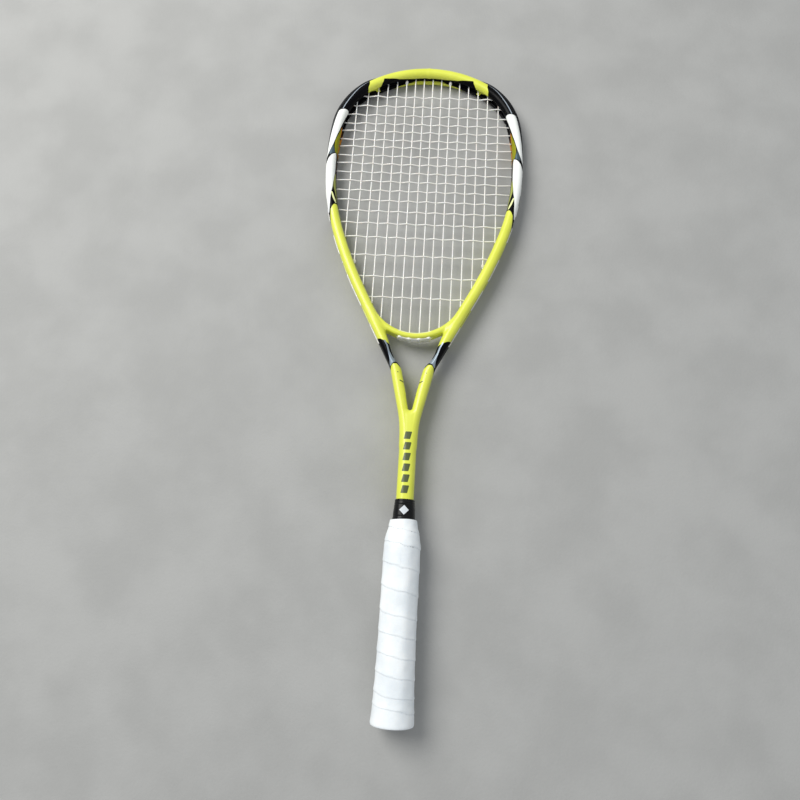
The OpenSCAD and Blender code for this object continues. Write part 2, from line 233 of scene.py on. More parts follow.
class Build:
    """Gathers the vertices, faces and vertex values of one piece."""

    def __init__(self):
        self.verts, self.faces, self.values = [], [], {}
        self.count = 0

    def add(self, verts, faces, **values):
        verts = np.asarray(verts, float).reshape(-1, 3)
        self.faces += [tuple(int(i) + self.count for i in f) for f in faces]
        self.verts.append(verts)
        self.count += len(verts)
        for key, v in values.items():
            self.values.setdefault(key, []).append(np.broadcast_to(v, len(verts)))

    def finish(self, name, material, replaces, sharp=40.0):
        values = {k: np.concatenate(v) for k, v in self.values.items()}
        make(name, np.concatenate(self.verts), self.faces, material, replaces, sharp, values)


def loft(rings, closed=False):
    """Faces that join rings of points, each ring closed, with flat caps unless the loft closes on itself."""
    rings = np.asarray(rings, float)
    m, n = rings.shape[:2]
    faces = []
    for i in range(m if closed else m - 1):
        k = (i + 1) % m
        for j in range(n):
            h = (j + 1) % n
            faces.append((i * n + j, i * n + h, k * n + h, k * n + j))
    if not closed:
        faces.append(tuple(range(n - 1, -1, -1)))
        faces.append(tuple((m - 1) * n + j for j in range(n)))
    return rings.reshape(-1, 3), faces


def unit(v):
    return v / np.maximum(np.linalg.norm(v, axis=-1, keepdims=True), 1e-12)


def tube(path, radius, sides):
    """Rings round a path, carried along it without twist. Returns points, faces, length and angle."""
    path = np.asarray(path, float)
    tangent = unit(np.gradient(path, axis=0))
    normal = np.cross(tangent[0], [0.0, 0.0, 1.0])
    if np.linalg.norm(normal) < 0.1:
        normal = np.cross(tangent[0], [1.0, 0.0, 0.0])
    angle = np.linspace(0, 2 * np.pi, sides, endpoint=False)
    rings = []
    for p, d in zip(path, tangent):
        normal = unit(normal - d * (normal @ d))
        other = np.cross(normal, d)
        rings.append(p + radius * (np.cos(angle)[:, None] * normal + np.sin(angle)[:, None] * other))
    verts, faces = loft(rings)
    length = np.concatenate([[0], np.cumsum(np.linalg.norm(np.diff(path, axis=0), axis=1))])
    return verts, faces, np.repeat(length, sides), np.tile(angle, len(path))


def rounded(points, radius):
    """A polyline with each corner turned into a short curve."""
    points = [np.asarray(p, float) for p in points]
    path = [points[0]]
    for a, b, c in zip(points, points[1:], points[2:]):
        u, v = a - b, c - b
        lu, lv = np.linalg.norm(u), np.linalg.norm(v)
        if lu < 1e-6 or lv < 1e-6:
            continue
        if (u @ v) / (lu * lv) < -0.97:
            path.append(b)
            continue
        cut = min(radius, lu * 0.45, lv * 0.45)
        start, end = b + u / lu * cut, b + v / lv * cut
        for k in np.linspace(0, 1, 5):
            path.append((1 - k) ** 2 * start + 2 * k * (1 - k) * b + k * k * end)
    path.append(points[-1])
    return path


# ---------------------------------------------------------------- shaders

def linear(code):
    """Linear RGBA from an sRGB hex code."""
    rgb = [int(code[i:i + 2], 16) / 255 for i in (0, 2, 4)]
    return [c / 12.92 if c <= 0.04045 else ((c + 0.055) / 1.055) ** 2.4 for c in rgb] + [1.0]


class Shader:
    """A material and short calls that add nodes to it. Any value may be a number or another node's output."""

    def __init__(self, name):
        self.material = bpy.data.materials.new(name)
        self.material.use_nodes = True
        self.tree = self.material.node_tree
        self.bsdf = self.tree.nodes["Principled BSDF"]
        self.place = self.node("ShaderNodeTexCoord").outputs["Object"]

    def node(self, kind, **settings):
        made = self.tree.nodes.new(kind)
        for key, value in settings.items():
            setattr(made, key, value)
        return made

    def put(self, socket, value):
        if isinstance(value, bpy.types.NodeSocket):
            self.tree.links.new(value, socket)
        else:
            socket.default_value = value

    def set(self, **values):
        for key, value in values.items():
            self.put(self.bsdf.inputs[key.replace("_", " ")], value)

    def math(self, operation, a, b=0.0):
        made = self.node("ShaderNodeMath", operation=operation)
        for socket, value in zip(made.inputs, (a, b)):
            self.put(socket, value)
        return made.outputs[0]

    def span(self, value, lo, hi, to_lo=0.0, to_hi=1.0):
        made = self.node("ShaderNodeMapRange", interpolation_type="SMOOTHSTEP")
        for socket, v in zip(made.inputs, (value, lo, hi, to_lo, to_hi)):
            self.put(socket, v)
        return made.outputs[0]

    def mix(self, factor, a, b, blend="MIX"):
        made = self.node("ShaderNodeMix", data_type="RGBA", blend_type=blend)
        self.put(made.inputs[0], factor)
        self.put(made.inputs[6], a)
        self.put(made.inputs[7], b)
        return made.outputs[2]

    def noise(self, scale, detail=3.0, rough=0.5, place=None):
        """Noise whose scale is in cycles per metre."""
        made = self.node("ShaderNodeTexNoise")
        self.put(made.inputs["Vector"], place or self.place)
        for key, value in (("Scale", scale), ("Detail", detail), ("Roughness", rough)):
            self.put(made.inputs[key], value)
        return made.outputs["Fac"]

    def cells(self, scale, output="Distance"):
        """Cells whose scale is in cells per metre."""
        made = self.node("ShaderNodeTexVoronoi")
        self.put(made.inputs["Vector"], self.place)
        self.put(made.inputs["Scale"], scale)
        return made.outputs[output]

    def stretched(self, scale):
        made = self.node("ShaderNodeMapping")
        self.put(made.inputs["Vector"], self.place)
        made.inputs["Scale"].default_value = scale
        return made.outputs[0]

    def value(self, name):
        made = self.node("ShaderNodeAttribute", attribute_name=name)
        return made.outputs["Fac"]

    def bump(self, *layers):
        """Bumps of (height, depth in metres), one on another."""
        normal = None
        for height, depth in layers:
            made = self.node("ShaderNodeBump")
            self.put(made.inputs["Height"], height)
            made.inputs["Strength"].default_value = 1.0
            made.inputs["Distance"].default_value = depth
            if normal:
                self.put(made.inputs["Normal"], normal)
            normal = made.outputs[0]
        self.put(self.bsdf.inputs["Normal"], normal)


def speckled(name, base, other, scale, rough, depth, grain=4000.0, **extra):
    """A moulded or cast material: two close tones, uneven roughness and a fine grain."""
    s = Shader(name)
    tone = s.span(s.noise(scale, 4), 0.35, 0.65)
    s.set(Base_Color=s.mix(tone, linear(base), linear(other)))
    s.set(Roughness=s.span(s.noise(scale * 3, 3), 0.3, 0.7, rough - 0.08, rough + 0.1))
    s.bump((s.noise(grain, 2), depth), (s.noise(scale * 2, 2), depth * 4))
    s.set(**extra)
    return s


# The stripe and the pale line on the bridge's edge are painted highlights; the olive and moss are painted
# shade on the yellow.
PAINT = {
    "black": "030305", "white": "F4F6F2", "steel": "4A5A62", "highlight_stripe": "A2ABB4", "silver": "98A4AE",
    "olive_shade": "8F8F1E", "moss_shade": "A3A95A", "orange": "D2861A", "brown": "4A3016", "pale": "EEF2B0",
    "bars": "4A5426",
}


def paint_material():
    """Lacquered colours, with painted highlights and painted shade among them, each one laid where its
    distance value on the mesh is below zero.
    """
    s = Shader("frame_paint")
    mottle = s.span(s.noise(35, 3), 0.3, 0.7)
    colour = s.mix(mottle, linear("DCE248"), linear("E4E954"))
    metal = 0.0
    dark = 0.0
    for key, code in PAINT.items():
        mask = s.span(s.value("paint_" + key), 0.09, -0.09)
        colour = s.mix(mask, colour, linear(code))
        if key in ("silver", "steel"):
            metal = s.math("MAXIMUM", metal, s.math("MULTIPLY", mask, 0.35))
        elif key == "black":
            dark = mask
        elif key in ("white", "pale", "olive_shade", "orange"):
            metal = s.math("MULTIPLY", metal, s.math("SUBTRACT", 1.0, mask))
    flake = s.cells(2600, output="Color")
    colour = s.mix(s.math("MULTIPLY", metal, 0.35), colour, flake, "SOFT_LIGHT")
    dust = s.math("MULTIPLY", s.span(s.noise(420, 6, 0.7), 0.62, 0.78), 0.10)
    colour = s.mix(dust, colour, linear("B9B4A4"))
    scratch = s.span(s.noise(160, 5, 0.65, s.stretched((1, 9, 1))), 0.66, 0.72)
    s.set(Base_Color=colour, Metallic=metal, Coat_Roughness=0.22)
    s.set(Coat_Weight=s.span(dark, 0, 1, 0.4, 0.04), Specular_IOR_Level=s.span(dark, 0, 1, 0.5, 0.07))
    rough = s.math("ADD", s.span(s.noise(90, 4), 0.3, 0.7, 0.34, 0.44), s.math("MULTIPLY", scratch, 0.15))
    s.set(Roughness=rough)
    s.bump((s.noise(900, 2), 0.00002), (scratch, -0.00001))
    return s.material


def bumper_material():
    s = Shader("bumper_nylon")
    scuff = s.span(s.noise(240, 6, 0.7, s.stretched((1, 1, 2.5))), 0.52, 0.66)
    worn = s.math("MULTIPLY", scuff, s.span(s.value("proud"), -0.2, 0.9))
    colour = s.mix(s.span(s.noise(70, 3), 0.35, 0.65), linear("0B0C0E"), linear("14151A"))
    skin = s.mix(worn, colour, linear("4E5054"))
    # Barrels marked pale take a shaded yellow: painted shade.
    s.set(Base_Color=s.mix(s.value("pale"), skin, linear("8F9634")))
    s.set(Roughness=s.math("ADD", 0.42, s.math("MULTIPLY", worn, 0.3)), Specular_IOR_Level=0.25)
    s.bump((s.noise(2500, 2), 0.00002), (scuff, -0.00008))
    return s.material


def string_material(name, base, other):
    """A coated multifilament: fine spiral lay under a clear skin, soiled a little here and there."""
    s = Shader(name)
    turns = s.math("ADD", s.math("MULTIPLY", s.value("along"), 2.4), s.value("around"))
    lay = s.math("SINE", s.math("MULTIPLY", turns, 3.0))
    colour = s.mix(s.span(lay, -1, 1), linear(base), linear(other))
    soil = s.math("MULTIPLY", s.span(s.noise(60, 4), 0.45, 0.75), 0.12)
    s.set(Base_Color=s.mix(soil, colour, linear("B3A68E")), Roughness=0.33, Coat_Weight=0.3)
    s.set(Subsurface_Weight=0.2, Subsurface_Radius=(0.0006, 0.0005, 0.0004), Subsurface_Scale=1.0)
    s.bump((lay, 0.00003))
    return s.material


def overgrip_material():
    """Tacky polyurethane tape: leathery pores, a soft nap, painted shade along each overlap, and darker
    dashes along the seams near the top.
    """
    s = Shader("overgrip_pu")
    pores = s.cells(950)
    nap = s.noise(2600, 4, 0.6)
    seam = s.value("seam")
    colour = s.mix(s.span(s.noise(45, 4), 0.35, 0.7), linear("F4F8FA"), linear("E6ECF0"))
    # Grey along each overlap: painted shade where the tape edge laps the turn below.
    colour = s.mix(s.math("MULTIPLY", seam, 0.12), colour, linear("A9B2B8"))
    height = s.node("ShaderNodeSeparateXYZ")
    s.put(height.inputs[0], s.place)
    dashes = s.span(s.noise(520, 1, 0.5), 0.56, 0.62)
    upper = s.span(height.outputs["Y"], 0.125, 0.166, 0.12, 0.5)
    shown = s.math("MULTIPLY", s.math("MULTIPLY", seam, dashes), upper)
    colour = s.mix(shown, colour, linear("5F676D"))
    s.set(Base_Color=colour, Roughness=s.span(s.noise(80, 3), 0.3, 0.7, 0.55, 0.68))
    s.set(Sheen_Weight=0.15, Sheen_Roughness=0.5)
    s.set(Subsurface_Weight=0.08, Subsurface_Radius=(0.001, 0.0009, 0.0008), Subsurface_Scale=1.0)
    s.bump((pores, -0.00006), (nap, 0.00004), (s.noise(130, 3), 0.0002))
    return s.material


def collar_material():
    s = Shader("collar_rubber")
    grey = s.mix(s.span(s.noise(120, 4), 0.35, 0.65), linear("050506"), linear("0C0D0F"))
    mark = s.span(s.value("mark"), 0.09, -0.09)
    s.set(Base_Color=s.mix(mark, grey, linear("D4D9DE")), Specular_IOR_Level=0.25)
    s.set(Roughness=s.span(s.noise(200, 3), 0.3, 0.7, 0.25, 0.4))
    s.bump((s.noise(3000, 2), 0.00002))
    return s.material


# ---------------------------------------------------------------- the moulded frame

def frame_field(x, y, z):
    """Distance-like field of the hoop, throat, bridge and shaft, in millimetres, negative inside."""
    x = np.abs(x)
    depth, run, own = hoop_frame(x, y)
    other = hoop_frame(-x, y)[2]
    arm = smooth_max(own - HALF_W, depth - table(WAIST, run - ARM_T), 1.0)
    plan = smooth_min(arm, other - HALF_W, 1.5)
    shaft = np.maximum(x - SHAFT_HALF, np.maximum(SHAFT_LOW - y, y - SHAFT_TOP))
    plan = smooth_min(plan, shaft, 2.0)
    up = y - CROTCH_Y
    wedge = np.maximum(x - CROTCH_R - CROTCH_SLOPE * up, np.maximum(-up, up - CROTCH_H))
    crotch = np.minimum(np.hypot(x, up) - CROTCH_R, wedge)
    plan = smooth_max(plan, -crotch, 1.0)
    low = step01(300, 250, y)
    body = slab(plan, z, HOOP_HALF_Z + 0.3 * low, HOOP_ROUND + 2.4 * low)
    groove = smooth_max(np.abs(z) - GROOVE_HALF, np.maximum(depth - GROOVE_D, run - GROOVE_T), 0.5)
    body = smooth_max(body, -groove, 0.5)
    recess = smooth_max(np.abs(z) - RECESS_HALF_Z, HOOP_W - table(RECESS, run) - depth, 0.8)
    body = smooth_max(body, -recess, 0.8)
    rho = np.hypot(x, BRIDGE_Y - y)
    angle = np.clip(np.degrees(np.arctan2(x, BRIDGE_Y - y)), 0, BRIDGE_A)
    mid = BRIDGE_R + BRIDGE_W / 2
    end_x, end_y = mid * np.sin(np.radians(angle)), BRIDGE_Y - mid * np.cos(np.radians(angle))
    off = np.where(angle < BRIDGE_A, np.abs(rho - mid), np.hypot(x - end_x, y - end_y))
    bridge = smooth_max(slab(off - BRIDGE_W / 2, z, BRIDGE_HALF_Z, BRIDGE_ROUND), -groove, 0.5)
    return smooth_min(body, bridge, 0.6 + 3.4 * step01(mid - 1, mid + 2, rho))


# Reach of the grid in x, y and z, a little past the frame, and the step used to find slopes.
GRID_REACH, SLOPE_STEP = (113, 692, 12.6), 0.03


def frame_mesh(cell):
    """Surface of the field, meshed on a grid of the quarter and settled on to the exact surface."""
    nx, ny, nz = (int(reach / cell) for reach in GRID_REACH)
    x = np.arange(nx + 1)[:, None, None] * cell
    y = np.arange(ny + 1)[None, :, None] * cell
    z = np.arange(nz + 1)[None, None, :] * cell
    field = np.clip(frame_field(x, y, z), -3 * cell, 3 * cell).astype(np.float32)
    field = np.concatenate([field[:0:-1], field], axis=0)
    field = np.ascontiguousarray(np.concatenate([field[:, :, :0:-1], field], axis=2))
    grid = openvdb.FloatGrid(3 * cell)
    grid.copyFromArray(field)
    points, quads = grid.convertToQuads(isovalue=0.0)
    p = (np.asarray(points, float) - [nx, 0, nz]) * cell
    for _ in range(3):
        value = frame_field(p[:, 0], p[:, 1], p[:, 2])
        slope = np.empty_like(p)
        for k in range(3):
            d = np.zeros(3)
            d[k] = SLOPE_STEP
            ahead, behind = (p + d).T, (p - d).T
            slope[:, k] = (frame_field(*ahead) - frame_field(*behind)) / (2 * SLOPE_STEP)
        move = slope * (value / np.maximum((slope ** 2).sum(1), 0.25))[:, None]
        p -= np.clip(move, -0.4 * cell, 0.4 * cell)
    q = np.asarray(quads, int)
    centre = p[q].mean(1)
    face = np.cross(p[q[:, 2]] - p[q[:, 0]], p[q[:, 3]] - p[q[:, 1]])
    if (centre * face).sum() < 0:
        q = q[:, ::-1]
    return p, q


def polygon_distance(px, py, corners):
    """Signed distance to a polygon, negative inside."""
    corners = np.asarray(corners, float)
    best = np.full(px.shape, np.inf)
    inside = np.zeros(px.shape, bool)
    for (ax, ay), (bx, by) in zip(corners, np.roll(corners, -1, axis=0)):
        ex, ey = bx - ax, by - ay
        k = np.clip(((px - ax) * ex + (py - ay) * ey) / (ex * ex + ey * ey), 0, 1)
        best = np.minimum(best, np.hypot(px - ax - k * ex, py - ay - k * ey))
        if ay != by:
            inside ^= ((ay > py) != (by > py)) & (px < ax + (py - ay) * ex / ey)
    return np.where(inside, -best, best)


def join(*fields):
    return np.minimum.reduce(fields)


# Paint shapes. In the hoop they are drawn on its unrolled surface: the first number is the path length
# from the tip, and the second is the distance across the front face from its outer edge, which
# carries on below 0 down the outer wall, past 10.8 down the inner wall, and past 22.8 on to the back
# face. The crown's shapes run right round; the others are the same on the back as on the front.
YELLOW_CROWN = [
    (-5, -30), (71, -30), (71, -8), (71.6, 2.7), (73.5, 6), (77.8, 9), (79.6, 11.4), (79.5, 14.3),
    (75, 16.5), (70.7, 18.8), (66, 20), (62.5, 20.3), (61.2, 18), (61.7, 13.5), (59.6, 10.5),
    (56.6, 9), (54.8, 6.8), (48.7, 8.4), (37.8, 10.3), (26.4, 12.3), (15.7, 14), (-5, 14),
]
YELLOW_BACK = [
    (-5, 19.6), (15, 19.6), (26.4, 20.1), (33.2, 20.8), (38.3, 21.5), (42, 23), (46, 27), (71, 27),
    (71, 60), (-5, 60),
]
YELLOW_ARM = [
    (245, 9), (245.3, 10.3), (247, 11.5), (252, 13), (262, 17), (262, 60), (1000, 60), (1000, -60),
    (285, -8), (267.6, -0.2), (258.2, 1.4), (251, 3), (247.4, 5.3), (245.4, 7.4),
]
WHITE_UPPER = [
    (126, -8), (123.9, 0.5), (122.3, 3.5), (120.7, 6.5), (119.6, 9.5), (119.6, 11.2), (122, 12.4),
    (126, 12), (131, 10.8), (140.9, 9.9), (150, 9), (156, 8), (162.3, 7.1), (169.2, 5.8), (177, 3.4),
    (184, 1), (187, -1), (190, -8),
]
WHITE_LOWER = [
    (179.6, 10), (179.8, 9.4), (182.8, 5.7), (187, 2.7), (191.3, 1.1), (196, -1), (200, -8),
    (250, -8), (253.5, 0.9), (248.3, 2.2), (244.9, 2.9), (242.8, 3.4), (237, 4.4), (231.6, 5.6),
    (229.1, 6.2), (223.6, 7.7), (214.5, 9.1), (206.6, 10.2), (196, 10.8), (186, 10.8),
]
STEEL_WEDGE = [
    (169.6, 6.2), (175.2, 8), (179.2, 8.9), (180.6, 6.8), (181.8, 4.6), (182.6, 3.2), (179.4, 3.3),
    (174.5, 4.6),
]
# A darker, duller yellow across the inner edge of the upper arm: painted shade.
OLIVE_SHADE_UPPER = [
    (147, 10), (153, 9.4), (160, 8.1), (165, 7.3), (171, 7.5), (178.5, 9), (179.3, 10.2),
    (179, 13.5), (170, 14.5), (160, 12.6), (152, 11),
]
ORANGE = [
    (143.5, 10.4), (147, 10.2), (152, 11), (160, 12.6), (170, 14.5), (179, 13.5), (181, 14.5),
    (172, 17.2), (160, 16), (150, 13.5),
]
BROWN = [
    (143.5, 13.5), (150, 13.5), (160, 16), (172, 17.2), (181, 14.5), (205, 14.5), (205, 18),
    (143.5, 18),
]
# A duller yellow across the inner edge of the lower arm: painted shade.
MOSS_SHADE_LOWER = [
    (205, 10.8), (212, 9.6), (217, 9), (222, 8.8), (228, 9.6), (236, 10.4), (243, 10.6), (243, 12),
    (230, 13.5), (215, 14.5), (205, 14),
]
PALE_LINE = [
    (228.5, 6.6), (230.5, 5.9), (237.9, 7.1), (243.6, 9), (243.8, 9.9), (240, 9.6), (236, 8.7),
    (231, 7.6),
]
# A thin pale line from the ear to the white blade, a painted highlight along the outer crown of the black
# paint: path length and distance across.
HIGHLIGHT_STRIPE = [(74, 1.5), (85, 2.4), (98, 4.1), (109, 4.6), (117, 4.7)]
# Throat shapes are in plain x and y.
THROAT_BLACK = [
    (50, 360), (38.2, 356.8), (33.5, 355.7), (31, 354.5), (26.6, 352.2), (15, 347), (8, 334),
    (11, 326.5), (13, 328), (15.6, 330.7), (19.5, 330), (21.2, 327.5), (21.5, 322), (20.6, 316),
    (18.6, 303), (30, 303), (50, 340),
]
THROAT_SILVER = [
    (30.4, 354.2), (27.3, 349.2), (25.3, 343), (23.6, 337), (23, 334), (22.8, 331), (22.4, 328),
    (21.2, 328.3), (20.2, 330.8), (18, 332), (15.5, 333.5), (18, 336.5), (19.8, 337), (21.2, 339),
    (23.7, 343.4), (25.8, 349.6), (28.8, 354.8),
]


# Height off the middle plane where the front face turns down, and where head and throat paint part.
TURN_Z, THROAT_Y = 6.0, 400.0
BARS, BAR_Y, BAR_STEP, BAR_LEAN = 6, 206.0, 10.4, 0.22


def paint_fields(p):
    """The distance value of each paint colour at every point of the frame."""
    x, y, z = np.abs(p[:, 0]), p[:, 1], p[:, 2]
    depth, run, _ = hoop_frame(x, y)
    inner = depth > HALF_W
    wall = np.clip((TURN_Z - np.abs(z)) / 2, 0, 1)
    flat = np.where(inner, depth + wall * (HOOP_W - depth), depth)
    across = flat + np.where(inner, 1, -1) * np.clip(TURN_Z - np.abs(z), 0, TURN_Z)
    round_back = 2 * (HOOP_W + TURN_Z) - across
    unrolled = np.where(z < 0, round_back, across)
    far = np.full(len(p), 50.0)

    def hoop(corners):
        return np.where(y > THROAT_Y, polygon_distance(run, across, corners), far)

    def throat(corners):
        return np.where(y < THROAT_Y, polygon_distance(x, y, corners), far)

    arm = polygon_distance(run, across, YELLOW_ARM)
    crown = [polygon_distance(run, unrolled, c) for c in (YELLOW_CROWN, YELLOW_BACK)]
    dark = np.maximum.reduce([-arm, -crown[0], -crown[1], 430 - y])
    # A painted highlight along the outer crown of the black shoulder.
    highlight_stripe = np.maximum.reduce([np.abs(across - table(HIGHLIGHT_STRIPE, run)) - 0.5, 72 - run, run - 121])
    bars = far
    for k in range(BARS):
        by = BAR_Y + BAR_STEP * k
        slant = (y - by) * BAR_LEAN
        bars = np.minimum(bars, np.maximum(np.abs(p[:, 0] + 0.4 - slant) - 3.2, np.abs(y - by) - 3.7))
    tick = np.maximum(np.abs(y - 312.3 - 0.3 * (x - 9)) - 0.6, np.abs(x - 9) - 2.8)
    dot = np.hypot(x - 14, y - 321.6) - 0.7
    # A thin pale line along the head side of the bridge's edge: a painted highlight.
    rim = np.hypot(x, y - BRIDGE_Y) - BRIDGE_R
    edge = np.maximum.reduce([np.abs(rim - 0.9) - 0.6, x - 17, 4 - z])
    return {
        "black": join(dark, throat(THROAT_BLACK)),
        "white": join(hoop(WHITE_UPPER), hoop(WHITE_LOWER)),
        "steel": hoop(STEEL_WEDGE),
        "highlight_stripe": highlight_stripe,
        "silver": throat(THROAT_SILVER),
        "olive_shade": hoop(OLIVE_SHADE_UPPER),
        "moss_shade": hoop(MOSS_SHADE_LOWER),
        "orange": hoop(ORANGE),
        "brown": hoop(BROWN),
        "pale": join(hoop(PALE_LINE), edge),
        "bars": np.where(np.abs(z) > 4, join(bars, tick, dot), far),
    }


points, quads = frame_mesh(0.7)
paint = {"paint_" + k: v for k, v in paint_fields(points).items()}
make("moulded_frame", points, quads, paint_material(), ["frame"], 42, paint)

# ---------------------------------------------------------------- bumper guard and grommets

MAIN_HALF = [5, 14.8, 24.8, 35.4, 45.8, 56.6, 67.6, 79.8]
MAINS = [-x for x in MAIN_HALF[::-1]] + MAIN_HALF
CROSSES = [
    650.6, 637.6, 625.5, 614.3, 604.4, 593.5, 584, 573.1, 563, 552, 541.2, 529.4, 517.5, 504.6,
    490.3, 473.5, 452.4, 428.3, 404.7,
]
# Mains nearer the middle than this end on the bridge, and the others on the arms.
BRIDGE_MAINS = 28.0
# Path lengths where the bumper guard ends and the side strips begin.
BUMPER_T, STRIP_T = 178.0, 181.0
LINER_FLOOR, STRIP_FLOOR = 2.0, 0.6
STRING_R = 0.68
BUMPER_IN, STRIP_IN = LINER_FLOOR - STRING_R, STRIP_FLOOR - STRING_R
SAMPLES = np.linspace(0, GROOVE_T + 8, 1600)


def run_at(value, axis, inset, low=False):
    """Path length where the line x = value (axis 0) or y = value (axis 1) meets the hoop at that depth."""
    coordinate = hoop_at(SAMPLES, np.full(SAMPLES.shape, inset))[0][:, axis]
    if axis == 1:
        return np.interp(-value, -coordinate, SAMPLES)
    top = int(np.argmax(coordinate))
    if low:
        return np.interp(-value, -coordinate[top:], SAMPLES[top:])
    return np.interp(value, coordinate[:top], SAMPLES[:top])


def hoop_point(t, inset, z=0.0):
    p = hoop_at(np.asarray(t, float), np.asarray(inset, float))[0]
    return np.array([p[0], p[1], z])


def mouth(value, axis, low=False):
    """Where a string comes out of the hoop's inner wall."""
    deep = HOOP_W - max(float(table(RECESS, run_at(value, axis, HOOP_W, low))), 0.0)
    return hoop_point(run_at(value, axis, deep, low), deep)


def loop_in(t):
    """Depth of a string that runs along the groove: on the bumper guard's liner or on a strip."""
    return np.interp(abs(t), [BUMPER_T, STRIP_T], [BUMPER_IN, STRIP_IN])


def sweep_hoop(runs, section):
    """Loft of a section of (radial, z) pairs, outward positive, that may change along the hoop."""
    base, normal = hoop_at(runs)
    rings = []
    for k, t in enumerate(runs):
        shape = np.asarray(section(t), float)
        flat = base[k] + shape[:, :1] * normal[k]
        rings.append(np.column_stack([flat, shape[:, 1]]))
    return rings


def bumper_section(t):
    """Channel that lines the groove, with a flange over the outer face on each side of it."""
    t = abs(t)
    wide = 4.5 + 1.9 * step01(50, 78, t) - 2.4 * step01(130, BUMPER_T, t)
    proud = 0.9 + 1.1 * step01(50, 78, t) - 1.2 * step01(130, BUMPER_T, t)
    half = [
        (-GROOVE_D, 0), (-GROOVE_D, 2.9), (0.02, 2.9), (0.02, wide), (0.55 * proud, wide),
        (0.9 * proud, wide - 0.35), (proud, wide - 0.9), (proud, 3.0), (0.85 * proud, 2.5),
        (0.3 * proud, 2.15), (-LINER_FLOOR, 2.0), (-LINER_FLOOR, 0),
    ]
    back = [(r, -z) for r, z in half[-2:0:-1]]
    return half + back


def strip_section(_):
    half = [
        (-GROOVE_D, 0), (-GROOVE_D, 2.9), (-STRIP_FLOOR - 0.3, 2.9), (-STRIP_FLOOR, 2.6),
        (-STRIP_FLOOR, 0),
    ]
    return half + [(r, -z) for r, z in half[-2:0:-1]]


BARREL_R, BORE_R, BARREL_IN = 1.6, 0.95, 4.0


def barrel(start, end):
    """Grommet barrel from start to end, its mouth at the end rounded over."""
    start, end = np.asarray(start, float), np.asarray(end, float)
    d = unit(end - start)
    side = unit(np.cross(d, [0.0, 0.0, 1.0]))
    up = np.cross(side, d)
    angle = np.linspace(0, 2 * np.pi, 14, endpoint=False)
    circle = np.cos(angle)[:, None] * side + np.sin(angle)[:, None] * up
    profile = [
        (start, BARREL_R), (end - 0.5 * d, BARREL_R), (end - 0.15 * d, BARREL_R - 0.1),
        (end, BARREL_R - 0.3), (end, BORE_R + 0.15), (end - 0.25 * d, BORE_R), (start, BORE_R),
    ]
    return loft([p + r * circle for p, r in profile], closed=True)


def hoop_barrels():
    """Every barrel through the right half of the hoop, as (path length, start, end)."""
    made = []
    for x in MAIN_HALF:
        for low in ((False,) if x < BRIDGE_MAINS else (False, True)):
            outer = run_at(x, 0, BARREL_IN, low)
            made.append((outer, hoop_point(outer, BARREL_IN), mouth(x, 0, low)))
    for y in CROSSES:
        outer = run_at(y, 1, BARREL_IN)
        made.append((outer, hoop_point(outer, BARREL_IN), mouth(y, 1)))
    return made


def add_barrels(build, lo, hi, side):
    """Barrels between two path lengths on one side, marked pale where they come out through yellow paint; the
    shaders give them a shaded yellow there, which is painted shade.
    """
    for t, start, end in hoop_barrels():
        if lo <= t <= hi:
            proud = 0.9 if table(RECESS, t) > 1 else 0.35
            flip = np.array([side, 1.0, 1.0])
            verts, faces = barrel(start * flip, (end + unit(end - start) * proud) * flip)
            build.add(verts, faces, proud=-1.0, pale=1.0 if t > 245 or 56 < t < 74 else 0.0)


bumper = Build()
runs = np.linspace(-BUMPER_T, BUMPER_T, 240)
rings = sweep_hoop(runs, bumper_section)
verts, faces = loft(rings)
radial = np.tile([r for r, _ in bumper_section(0)], len(runs))
bumper.add(verts, faces, proud=radial, pale=0.0)
for side in (-1, 1):
    add_barrels(bumper, 0, BUMPER_T, side)
bumper.finish("bumper_guard_nylon", bumper_material(), ["bumper_guard"])

strip_shader = speckled("grommet_nylon", "101114", "1A1B1F", 300, 0.45, 0.00001)
strip_tone = strip_shader.bsdf.inputs["Base Color"].links[0].from_socket
# Barrels marked pale take a shaded yellow: painted shade.
strip_shader.set(Base_Color=strip_shader.mix(strip_shader.value("pale"), strip_tone, linear("8F9634")))
for side, name in ((-1, "left"), (1, "right")):
    strip = Build()
    runs = np.linspace(STRIP_T, GROOVE_T - 0.2, 160) * side
    strip.add(*loft(sweep_hoop(runs if side > 0 else runs[::-1], strip_section)), proud=0.0, pale=0.0)
    add_barrels(strip, BUMPER_T, math.inf, side)
    strip.finish(f"{name}_grommets", strip_shader.material, [f"{name}_grommet_strip"])


def bridge_point(x, drop, z=0.0):
    """Point at x, a given distance below the bridge's head side."""
    return np.array([x, BRIDGE_Y - math.sqrt((BRIDGE_R + drop) ** 2 - x * x), z])


def bridge_pad(x):
    """How far a string stands off the underside of the bridge: on the strip, or let in past its end."""
    return np.interp(abs(x), [16, 18], [0.5, -1.35])


